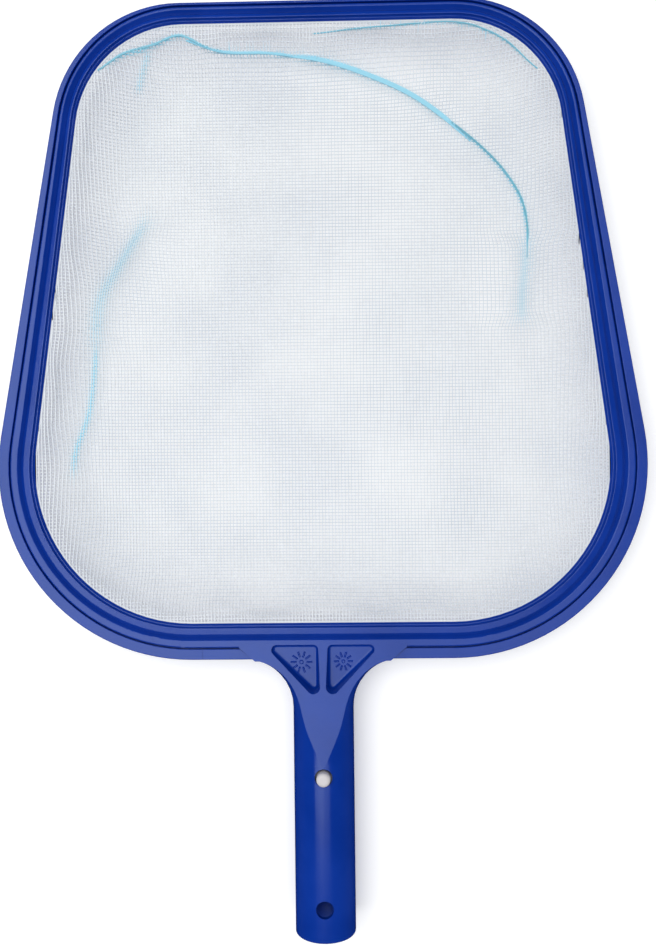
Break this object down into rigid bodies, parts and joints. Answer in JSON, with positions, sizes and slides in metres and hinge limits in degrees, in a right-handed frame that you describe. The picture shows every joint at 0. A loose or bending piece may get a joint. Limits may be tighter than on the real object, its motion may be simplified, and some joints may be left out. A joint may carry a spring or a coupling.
{
  "type": "leaf skimmer net",
  "caption": "Flat pool leaf skimmer: a wide clamped hoop with a slack fine net and a short tubular spigot with a snap-button clip for a pole.",
  "frame": {"origin": "centre of the spigot's free end, on the spigot's axis and in the plane where the net is clamped", "axes": "+Y along the spigot to the hoop's leading edge, +Z out of the front face, where the neck's pockets are, +X to the right seen from the front with the spigot down"},
  "size_m": [0.306, 0.4395, 0.0368],
  "materials": {
    "blue_plastic": "satin moulded polypropylene, deep blue",
    "white_mesh": "fine open polyester mesh, bluish white",
    "spring_steel": "dark tempered spring strip",
    "button_plastic": "pale grey acetal, fine satin"
  },
  "bodies": {
    "frame": {"front_frame": "blue_plastic", "rear_ring": "blue_plastic", "net": "white_mesh", "clip_bend": "spring_steel"},
    "front_leaf": {"clip_arm_front": "spring_steel", "snap_button_front": "button_plastic"},
    "rear_leaf": {"clip_arm_rear": "spring_steel", "snap_button_rear": "button_plastic"}
  },
  "joints": [
    {"name": "front_button_press", "type": "hinge", "parent": "frame", "child": "front_leaf", "pos_m": [0, 0.031, 0.006], "axis": [-1, 0, 0], "range_deg": [0, 6], "stiffness_Nm_per_rad": 1.2, "springref_deg": -2.86},
    {"name": "rear_button_press", "type": "hinge", "parent": "frame", "child": "rear_leaf", "pos_m": [0, 0.031, -0.006], "axis": [1, 0, 0], "range_deg": [0, 6], "stiffness_Nm_per_rad": 1.2, "springref_deg": -2.86}
  ]
}
